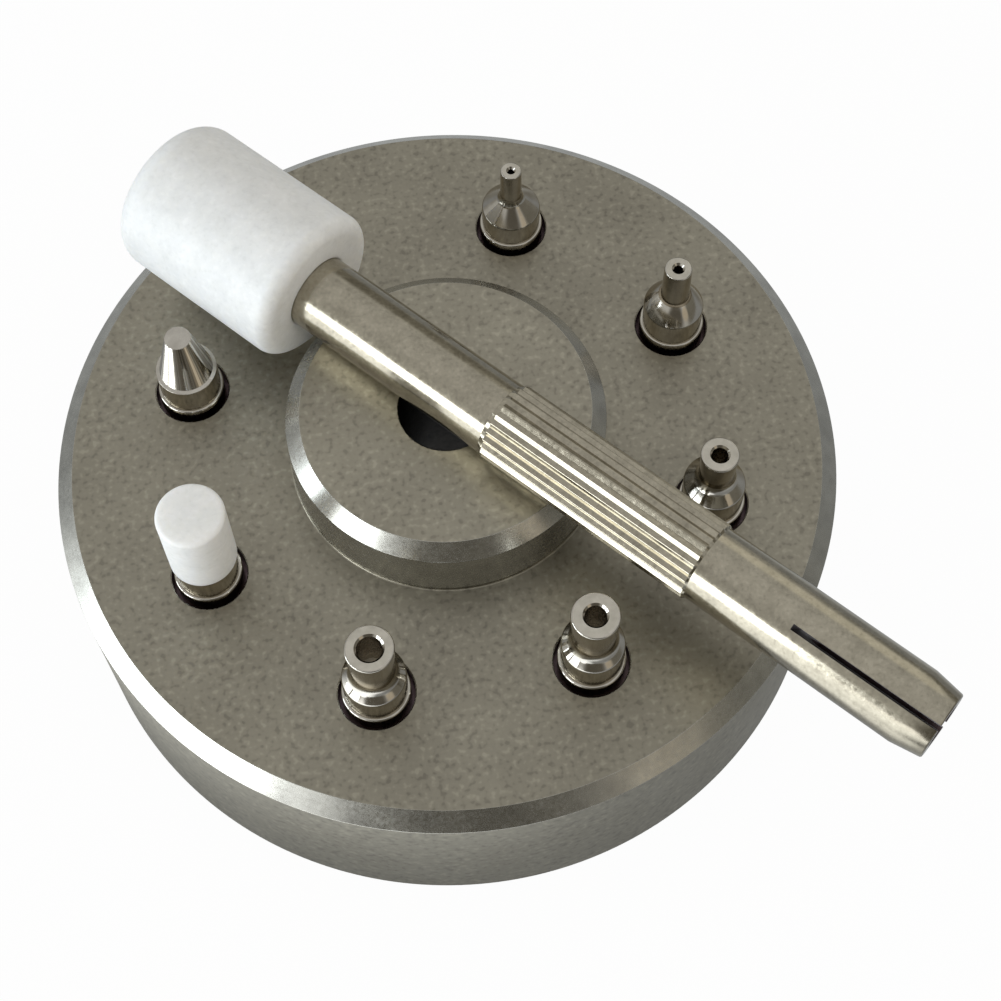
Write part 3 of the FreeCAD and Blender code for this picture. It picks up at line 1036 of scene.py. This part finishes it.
def area_light(name, turn, height, far, wide, tall, power, colour):
    """A soft box that looks at the middle of the block's top from this direction and distance."""
    data = bpy.data.lights.new(name, "AREA")
    data.shape = "RECTANGLE"
    data.size = wide
    data.size_y = tall
    data.energy = power
    data.color = colour
    lamp = bpy.data.objects.new(name, data)
    out = way(turn, height)
    lamp.location = out * far + Vector((0, 0, BLOCK_TOP))
    lamp.rotation_mode = "QUATERNION"
    lamp.rotation_quaternion = out.to_track_quat("Z", "Y")
    lamp.visible_camera = False
    bpy.context.scene.collection.objects.link(lamp)
    return lamp


# The window, low over the table on the left: for each pane its compass direction, its width, its
# power and its colour.
WINDOW_HEIGHT = math.radians(12)
WINDOW_FAR = 1.0
WINDOW_TALL = 0.40
WINDOW_PANES = {
    "window_left": (math.radians(182), 0.39, 2.9, (0.84, 0.93, 1.0)),
    "window_right": (math.radians(209), 0.38, 3.0, (0.90, 0.96, 1.0)),
}

# A soft warm fill from the right: it lights the plastics, and the steel doesn't mirror it.
FILL_TURN = math.radians(323)
FILL_HEIGHT = math.radians(35)
FILL_FAR = 1.0
FILL_SIDE = 0.8
FILL_POWER = 2.0
FILL_COLOUR = (1.0, 0.91, 0.77)


def make_lights():
    for name, (turn, wide, power, colour) in WINDOW_PANES.items():
        area_light(name, turn, WINDOW_HEIGHT, WINDOW_FAR, wide, WINDOW_TALL, power, colour)
    fill = area_light(
        "fill", FILL_TURN, FILL_HEIGHT, FILL_FAR, FILL_SIDE, FILL_SIDE, FILL_POWER, FILL_COLOUR
    )
    fill.visible_glossy = False


def make_camera():
    data = bpy.data.cameras.new("camera")
    data.sensor_width = VIEW_SENSOR
    data.lens = VIEW_LENS
    data.shift_x, data.shift_y = VIEW_SHIFT
    data.clip_start = VIEW_CLIP
    camera = bpy.data.objects.new("camera", data)
    back = way(VIEW_TURN - math.pi / 2, VIEW_DOWN)
    right = Vector((math.cos(VIEW_TURN), math.sin(VIEW_TURN), 0))
    up = back.cross(right)
    rolled_right = right * math.cos(VIEW_ROLL) + up * math.sin(VIEW_ROLL)
    rolled_up = up * math.cos(VIEW_ROLL) - right * math.sin(VIEW_ROLL)
    turn = Matrix((rolled_right, rolled_up, back)).transposed().to_4x4()
    camera.matrix_world = Matrix.Translation(VIEW_AT + back * VIEW_FAR) @ turn
    bpy.context.scene.collection.objects.link(camera)
    bpy.context.scene.camera = camera


make_block()
for tube_stake in TUBE_TIPS:
    make_tube_stake(tube_stake)
make_point_stake()
make_pad_stake()
TOOL_PLACE = tool_place()
make_shaft(TOOL_PLACE)
make_grip(TOOL_PLACE)
make_head(TOOL_PLACE)
make_floor()
make_world()
make_lights()
make_camera()
bpy.context.scene.view_settings.view_transform = "Standard"

bpy.context.view_layer.update()
